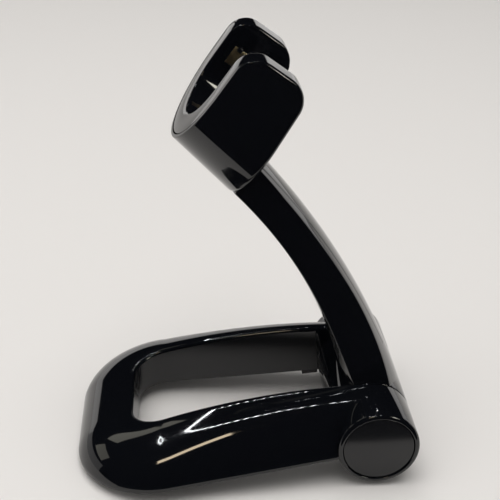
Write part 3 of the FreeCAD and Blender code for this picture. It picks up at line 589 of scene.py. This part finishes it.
def blade_section(angle):
    """The arm's cross-section in the plane at that angle."""
    front_half = arm_half(angle, front_at(angle, ARM_HALF))
    back_half = arm_half(angle, back_at(angle, ARM_HALF))
    right_front = corner_arc(angle, front_at, front_half, 1, -1)
    left_front = corner_arc(angle, front_at, front_half, -1, -1)
    right_back = corner_arc(angle, back_at, back_half, 1, 1)
    left_back = corner_arc(angle, back_at, back_half, -1, 1)
    outline = []
    start = -right_front[0][1]
    for i in range(1, ACROSS_STEPS):
        y = start * (1 - 2 * i / ACROSS_STEPS)
        outline.append((front_at(angle, y), y))
    outline += right_front + right_back[::-1]
    start = right_back[0][1]
    for i in range(1, ACROSS_STEPS):
        y = start * (1 - 2 * i / ACROSS_STEPS)
        outline.append((back_at(angle, y), y))
    outline += left_back + left_front[::-1]
    return [fan_point(angle, reach, y) for reach, y in outline]


def strip_section(angle, half, low, high, edge):
    """A band at the arm's back between two depths below its crowned face, with rounded outer edges."""
    outline = []
    for i in range(ACROSS_STEPS + 1):
        y = half * (2 * i / ACROSS_STEPS - 1)
        outline.append((back_at(angle, y, low), y))
    for i in range(ROUND_STEPS + 1):
        turn = math.pi / 2 * i / ROUND_STEPS
        y = half - edge * (1 - math.cos(turn))
        outline.append((back_at(angle, y, high) - edge * (1 - math.sin(turn)), y))
    for i in range(1, ACROSS_STEPS):
        y = (half - edge) * (1 - 2 * i / ACROSS_STEPS)
        outline.append((back_at(angle, y, high), y))
    for i in range(ROUND_STEPS + 1):
        turn = math.pi / 2 * (1 - i / ROUND_STEPS)
        y = half - edge * (1 - math.cos(turn))
        outline.append((back_at(angle, y, high) - edge * (1 - math.sin(turn)), -y))
    return [fan_point(angle, reach, y) for reach, y in outline]


def fan_angles(start, end, steps):
    return [start + (end - start) * i / steps for i in range(steps + 1)]


def angle_of_height(height):
    """The angle of the cross-section that meets the arm's back at that height above the hinge."""
    x = BACK_CENTRE.x + math.sqrt(BACK_RADIUS ** 2 - (height - BACK_CENTRE.y) ** 2)
    return math.atan2(height - FAN.y, x - FAN.x)


def arm_barrel(name):
    corners = [(ARM_BARREL_HALF, 0, 0), (ARM_BARREL_HALF, BARREL_RADIUS, BARREL_EDGE),
               (-ARM_BARREL_HALF, BARREL_RADIUS, BARREL_EDGE), (-ARM_BARREL_HALF, 0, 0)]
    return lathe(name, rounded(corners))


def arm_bores(name):
    """The way for the bolt with its bush and friction washer seats, as one turned shape."""
    floor = ARM_BARREL_HALF - FRICTION_SEAT
    bush_end = floor - BUSH_LENGTH
    way = BOLT_RADIUS + AXLE_CLEAR
    half = [(0, way), (bush_end, way), (bush_end, BUSH_RADIUS + SNUG_GAP),
            (floor, BUSH_RADIUS + SNUG_GAP), (floor, FRICTION_RADIUS + SNUG_GAP),
            (ARM_BARREL_HALF + DEEP, FRICTION_RADIUS + SNUG_GAP), (ARM_BARREL_HALF + DEEP, 0)]
    return lathe(name, [(-y, r) for y, r in half[:0:-1]] + half)


def strip_band(name, half, low, high, edge, foot, top):
    """A band up the arm's back, from a height above the hinge to an angle of the fan."""
    angles = fan_angles(angle_of_height(foot), top, ARM_STEPS)
    return solid(name, [strip_section(a, half, low, high, edge) for a in angles])


def make_arm():
    top = CUP_BACK_LEAN
    shell = solid("arm_shell_smooth", [blade_section(a) for a in fan_angles(0.0, top, ARM_STEPS)])
    seat = strip_band("strip_seat", STRIP_HALF + STRIP_GAP, STRIP_THICK, -SEAT_OPEN, SEAT_ROUND,
                      STRIP_FOOT - STRIP_GAP, top + SEAT_PAST)
    combine(shell, "DIFFERENCE", seat)
    combine(shell, "UNION", arm_barrel("arm_barrel"))
    combine(shell, "DIFFERENCE", arm_bores("arm_bores"))
    put(shell, IN_HINGE, "arm", "gloss_black", "arm_shell")
    strip = strip_band("arm_back_cover_smooth", STRIP_HALF, STRIP_THICK, 0.0, STRIP_ROUND, STRIP_FOOT, top)
    put(strip, IN_HINGE, "arm", "gloss_black", "arm_back_cover")


# ---------------------------------------------------------------- the cup

def bend_centre(y, depth):
    """Where the round end of the U starts, for a line that runs y from the middle."""
    share = (y - CHANNEL_HALF) / (CUP_HALF - CHANNEL_HALF)
    return -CHANNEL_BEND - (CUP_BEND + CUP_DRAFT * depth - CHANNEL_BEND) * share


def quarter(x, radius):
    """How far a quarter round that ends at the prong tip has come in at x."""
    return radius - math.sqrt(max(0.0, radius ** 2 - (x + radius) ** 2)) if x > -radius else 0.0


def cup_spot(x, y, level):
    """Depth below the face of a level from 0 (face) to 1 (back), allowing for the tip's rounding."""
    front = quarter(x, TIP_ROUND)
    back = CUP_DEPTH - x * math.tan(math.radians(BACK_DRAFT)) - quarter(x, TIP_ROUND)
    return front + (back - front) * level


def prong_ring(outline, side, x, share, tip_edge):
    """A cross-section of one prong: at x near its tip, then a share of the way from there to the bend."""
    ring = []
    for y, level in outline:
        place = x + (bend_centre(y, CUP_DEPTH * level) - x) * share
        width = y - quarter(x, tip_edge) * (2 * (y - CHANNEL_HALF) / (CUP_HALF - CHANNEL_HALF) - 1)
        ring.append((place, side * width, -cup_spot(place, y, level)))
    return ring


def bend_ring(outline, turn):
    """A cross-section of the round end; turn is 0 at the right prong and pi at the left one."""
    ring = []
    for y, level in outline:
        centre = bend_centre(y, CUP_DEPTH * level)
        place = centre - y * math.sin(turn)
        ring.append((place, y * math.cos(turn), -cup_spot(place, y, level)))
    return ring


def u_solid(name, outline, tip_xs, tip_edge=0.0):
    """Sweep an outline of (distance from the middle, level) points round the cup's U."""
    xs = sorted(tip_xs, reverse=True)
    shares = [i / PRONG_STEPS for i in range(1, PRONG_STEPS)]
    rings = [prong_ring(outline, 1, x, 0.0, tip_edge) for x in xs]
    rings += [prong_ring(outline, 1, xs[-1], share, tip_edge) for share in shares]
    rings += [bend_ring(outline, math.pi * i / BEND_STEPS) for i in range(BEND_STEPS + 1)]
    rings += [prong_ring(outline, -1, xs[-1], share, tip_edge) for share in reversed(shares)]
    rings += [prong_ring(outline, -1, x, 0.0, tip_edge) for x in reversed(xs)]
    return solid(name, rings)


def levels(corners, steps=6):
    """A rounded outline of (distance, depth in millimetres) as (distance, level) points."""
    return [(y, depth / CUP_DEPTH) for y, depth in rounded(corners, steps)]


def bend_lead_in(plate):
    """Lean the front of the keeper plate back towards the prong, so that a neck slides in under it."""
    for vert in plate.data.vertices:
        past = vert.co.z + PLATE_FRONT + LEAD_DEPTH
        if past > 0:
            vert.co.y += (CHANNEL_HALF - vert.co.y) * LEAD_DROP * past / LEAD_DEPTH


def make_cup_shell(tips):
    body = levels([(CHANNEL_HALF, 0, CHANNEL_EDGE), (CUP_HALF, 0, FACE_EDGE),
                   (CUP_HALF, CUP_DEPTH, BACK_EDGE), (CHANNEL_HALF, CUP_DEPTH, CHANNEL_BACK_EDGE)])
    shell = u_solid("cup_shell_smooth", body, tips, TIP_EDGE)
    inside = CHANNEL_HALF - WALL_BITE
    sleeve = CHANNEL_HALF + LINER_THICK + SNUG_GAP
    room = CUP_HALF - CUP_WALL
    bottom = CUP_DEPTH - BACK_WALL
    way = levels([(inside, -DEEP, 0), (FLANGE_SEAT, -DEEP, 0), (FLANGE_SEAT, FLANGE_THICK, 0),
                  (room, FLANGE_THICK, 0), (room, bottom, 0), (sleeve, bottom, 0),
                  (sleeve, CUP_DEPTH + DEEP, 0), (inside, CUP_DEPTH + DEEP, 0)])
    combine(shell, "DIFFERENCE", u_solid("liner_way", way, (-TIP_WALL, -TIP_ROUND)))
    put(shell, IN_CUP, "arm", "gloss_black", "cup_shell")


def catch_block(name, gap, edge):
    """The liner's small catch over the keeper plate, grown by a gap."""
    x = -PLATE_TOP - CATCH_LAP
    y = CHANNEL_HALF - PLATE_THICK - CATCH_PROUD
    z = -PLATE_FRONT - CATCH_FRONT
    return block(name, (x - gap, x + CATCH_WIDTH + gap), (y - gap, CHANNEL_HALF + WALL_BITE),
                 (z - CATCH_DEPTH - gap, z + gap), edge)


def make_cup_liner(tips):
    flange = FLANGE_SEAT - GROOVE
    sleeve = CHANNEL_HALF + LINER_THICK
    outline = levels([(CHANNEL_HALF, 0, CHANNEL_EDGE), (flange, 0, FLANGE_EDGE), (flange, FLANGE_THICK, 0),
                      (sleeve, FLANGE_THICK, 0), (sleeve, CUP_DEPTH, SLEEVE_EDGE),
                      (CHANNEL_HALF, CUP_DEPTH, LINER_BACK_EDGE)])
    end = -TIP_WALL - SNUG_GAP
    liner = u_solid("cup_liner_smooth", outline, [x for x in tips if x < end] + [end])
    combine(liner, "UNION", catch_block("catch", 0, CATCH_EDGE))
    put(liner, IN_CUP, "arm", "gloss_black", "cup_liner")


def make_keeper_plate():
    plate = block("keeper_plate_smooth", (-PLATE_TOP - PLATE_WIDTH, -PLATE_TOP),
                  (CHANNEL_HALF - PLATE_THICK, CHANNEL_HALF), (-PLATE_FRONT - PLATE_DEPTH, -PLATE_FRONT),
                  PLATE_EDGE)
    combine(plate, "DIFFERENCE", catch_block("notch", SNUG_GAP, NOTCH_EDGE))
    bend_lead_in(plate)
    put(plate, IN_CUP, "arm", "yellow_brass", "keeper_plate")


def make_cup():
    tips = [TIP_ROUND * (math.sin(math.pi / 2 * i / TIP_STEPS) - 1) for i in range(TIP_STEPS + 1)]
    make_cup_shell(tips)
    make_cup_liner(tips)
    make_keeper_plate()


# ---------------------------------------------------------------- floor, light and camera

FLOOR_HALF = 4.0
CAMERA_SPOT = HINGE + Vector((-67.0, -308.95, 217.52)) * MM
CAMERA_YAW, CAMERA_PITCH, CAMERA_ROLL = 4.524, 27.222, 1.216
CAMERA_LENS, SENSOR_WIDTH = 73.37, 36.0
CLIP_START = 0.01


def make_floor():
    mesh = bpy.data.meshes.new("floor")
    corners = [(FLOOR_HALF * a, FLOOR_HALF * b, 0) for a, b in SQUARE]
    mesh.from_pydata(corners, [], [(0, 1, 2, 3)])
    mesh.materials.append(material("floor_paper", (0.82, 0.805, 0.79), 0.8, Specular_IOR_Level=0.1))
    show("floor", mesh)


def glow(name, color, strength):
    """A material that only shines."""
    made = bpy.data.materials.new(name)
    made.use_nodes = True
    nodes = made.node_tree.nodes
    nodes.clear()
    shine = nodes.new("ShaderNodeEmission")
    shine.inputs["Color"].default_value = (*color, 1.0)
    shine.inputs["Strength"].default_value = strength
    end = nodes.new("ShaderNodeOutputMaterial")
    made.node_tree.links.new(shine.outputs["Emission"], end.inputs["Surface"])
    return made


def only_mirrored(item):
    """Let an item show in reflections and nowhere else, as a card or lamp outside the picture does."""
    item.visible_camera = False
    item.visible_diffuse = False
    item.visible_shadow = False
    item.visible_transmission = False


def card(name, corners, faces, color, strength):
    """Flat cards seen only in reflections, as one object."""
    mesh = bpy.data.meshes.new(name)
    mesh.from_pydata(corners, [], faces)
    mesh.materials.append(glow(name, color, strength))
    item = show(name, mesh)
    only_mirrored(item)


def area_light(name, spot, size, power, color):
    """A soft lamp that faces the stand and doesn't show in the gloss."""
    light = bpy.data.lights.new(name, "AREA")
    light.shape = "RECTANGLE"
    light.size, light.size_y = size
    light.energy = power
    light.color = color
    item = show(name, light)
    item.location = spot
    item.rotation_euler = (-Vector(spot)).to_track_quat("-Z", "Y").to_euler()
    item.visible_glossy = False


# the stage, in metres
TABLE_FRONT = -0.062        # where the pale table ends on the camera's side
ROOM_HALF = 1.5
WALL_HIGH = 0.36
CEILING = 1.6
PALE = (0.93, 0.91, 0.89)
WARM = (1.0, 0.82, 0.58)
CREAM = (1.0, 0.97, 0.84)
LED_PITCH = 0.058
LED_SIZE = 0.024
LED_NEAR, LED_FAR = -0.34, 1.65
LED_LEFT, LED_RIGHT = -0.58, 0.30
LED_BEND = 0.72             # radius of the strip's near corner
LED_TONE, LED_GLOW = (0.95, 0.98, 1.0), 90.0
ONE_FACE = [(0, 1, 2, 3)]
TABLE_LIFT = 0.0005         # keeps the dark table end just above the floor
TABLE_TONE, TABLE_GLOW = (0.5, 0.5, 0.6), 0.02
ROOM_TINT, ROOM_GLOW = (1.0, 0.985, 0.96), 0.3

# name, where the wall starts and ends, and how strongly it shines
WALLS = (
    ("back_wall", (-ROOM_HALF, ROOM_HALF), (ROOM_HALF, ROOM_HALF), 1.05),
    ("left_wall", (-ROOM_HALF, TABLE_FRONT), (-ROOM_HALF, ROOM_HALF), 0.55),
    ("right_wall", (ROOM_HALF, TABLE_FRONT), (ROOM_HALF, ROOM_HALF), 0.95),
)
# name, azimuth, elevation, width, height, colour, strength and turn
AIMED_CARDS = (
    ("warm_lamp", -166, 52.0, 0.14, 0.26, WARM, 13.0, 62),
    ("window_left", -73, 24, 0.60, 0.34, CREAM, 0.9, 0.0),
    ("window_right", -42, 40, 0.55, 0.26, CREAM, 1.3, 20),
    ("side_lamp", 138, 29, 0.30, 0.36, CREAM, 13.0, 0.0),
)
# name, place, size, power and colour
LIGHTS = (
    ("ceiling", (-0.1, -0.1, 1.5), (1.6, 1.4), 19, (1, 0.98, 0.96)),
    ("side", (-1.4, -0.6, 1.3), (1.2, 1.2), 3, (1, 0.98, 0.95)),
)


def make_room():
    """Pale walls behind and beside the stand, and the dark room on the camera's side of the table."""
    for name, start, end, strength in WALLS:
        corners = [(*start, 0), (*end, 0), (*end, WALL_HIGH), (*start, WALL_HIGH)]
        card(name, corners, ONE_FACE, PALE, strength)
    far, lift = FLOOR_HALF, TABLE_LIFT
    corners = [(-far, -far, lift), (far, -far, lift), (far, TABLE_FRONT, lift), (-far, TABLE_FRONT, lift)]
    card("table_end", corners, ONE_FACE, TABLE_TONE, TABLE_GLOW)


def aimed_card(name, azimuth, elevation, width, height, color, strength, turn):
    """A card ROOM_HALF away that faces the stand; azimuth 0 is +Y and 90 is +X, in degrees."""
    across, up = math.radians(azimuth), math.radians(elevation)
    ray = Vector((math.sin(across) * math.cos(up), math.cos(across) * math.cos(up), math.sin(up)))
    level = Vector((math.cos(across), -math.sin(across), 0))
    above = level.cross(ray)
    turn = math.radians(turn)
    right = level * math.cos(turn) + above * math.sin(turn)
    top = above * math.cos(turn) - level * math.sin(turn)
    corners = [ray * ROOM_HALF + right * width / 2 * a + top * height / 2 * b for a, b in SQUARE]
    card(name, corners, ONE_FACE, color, strength)


def led_spots():
    """Places of the small lamps of a light strip that runs round a ceiling with one round corner."""
    centre_x, centre_y = LED_LEFT + LED_BEND, LED_NEAR + LED_BEND
    spots = []
    for i in range(int((LED_RIGHT - centre_x) / LED_PITCH)):
        spots.append((LED_RIGHT - i * LED_PITCH, LED_NEAR))
    count = int(LED_BEND * math.pi / 2 / LED_PITCH)
    for i in range(count):
        turn = math.pi / 2 * i / count
        spots.append((centre_x - LED_BEND * math.sin(turn), centre_y - LED_BEND * math.cos(turn)))
    for i in range(int((LED_FAR - centre_y) / LED_PITCH)):
        spots.append((LED_LEFT, centre_y + i * LED_PITCH))
    for i in range(int((LED_RIGHT - LED_LEFT) / LED_PITCH)):
        spots.append((LED_LEFT + i * LED_PITCH, LED_FAR))
    return spots


def make_lamps():
    """The lamps and windows that the gloss mirrors."""
    points, faces = [], []
    half = LED_SIZE / 2
    for x, y in led_spots():
        start = len(points)
        points += [(x + half * a, y + half * b, CEILING) for a, b in SQUARE]
        faces.append(tuple(range(start, start + 4)))
    card("light_strip", points, faces, LED_TONE, LED_GLOW)
    for values in AIMED_CARDS:
        aimed_card(*values)


def make_lights():
    world = bpy.data.worlds.new("room")
    bpy.context.scene.world = world
    world.use_nodes = True
    sky = world.node_tree.nodes["Background"]
    sky.inputs["Color"].default_value = (*ROOM_TINT, 1)
    sky.inputs["Strength"].default_value = ROOM_GLOW
    world.cycles_visibility.glossy = False
    for values in LIGHTS:
        area_light(*values)
    bpy.context.scene.view_settings.view_transform = "Standard"


def make_camera():
    yaw, pitch, roll = (math.radians(a) for a in (CAMERA_YAW, CAMERA_PITCH, CAMERA_ROLL))
    ahead = Vector((math.sin(yaw) * math.cos(pitch), math.cos(yaw) * math.cos(pitch), -math.sin(pitch)))
    level = Vector((math.cos(yaw), -math.sin(yaw), 0))
    above = level.cross(ahead)
    right = level * math.cos(roll) + above * math.sin(roll)
    up = above * math.cos(roll) - level * math.sin(roll)
    camera = show("camera", bpy.data.cameras.new("camera"))
    camera.data.lens = CAMERA_LENS
    camera.data.sensor_width = SENSOR_WIDTH
    camera.data.clip_start = CLIP_START
    camera.matrix_world = Matrix.Translation(CAMERA_SPOT) @ Matrix((right, up, -ahead)).transposed().to_4x4()
    bpy.context.scene.camera = camera


finish_cad_nodes()
make_base_shell()
make_end_caps()
make_arm()
make_cup()
make_floor()
make_room()
make_lamps()
make_lights()
make_camera()
